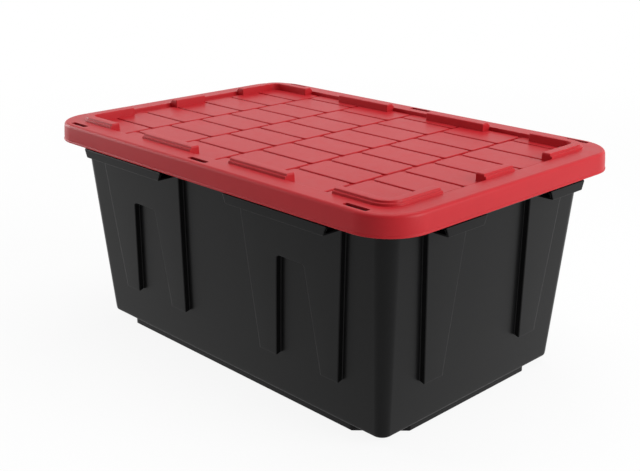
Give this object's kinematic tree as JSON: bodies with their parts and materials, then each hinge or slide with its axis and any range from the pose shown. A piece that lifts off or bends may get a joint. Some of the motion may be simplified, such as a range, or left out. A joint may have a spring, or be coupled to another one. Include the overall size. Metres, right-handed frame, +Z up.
{
  "type": "lidded storage tote",
  "caption": "Rectangular stackable storage tote: tapered black tub with raised side panels and hand grips, and a red lift-off lid with stacking lugs.",
  "frame": {"origin": "centre of the underside of the tub's plinth, on the surface it stands on", "axes": "+Z up, +X along the long side, +Y along the short side"},
  "size_m": [0.7646, 0.5144, 0.3562],
  "materials": {
    "tub_plastic": "moulded black polypropylene, fine satin grain",
    "lid_plastic": "moulded red polypropylene, satin"
  },
  "bodies": {
    "tub": {"tub": "tub_plastic"},
    "lid": {"lid": "lid_plastic"}
  },
  "joints": [
    {"name": "lid_lift", "type": "slide", "parent": "tub", "child": "lid", "axis": [0, 0, 1], "range_m": [0, 0.16]}
  ]
}
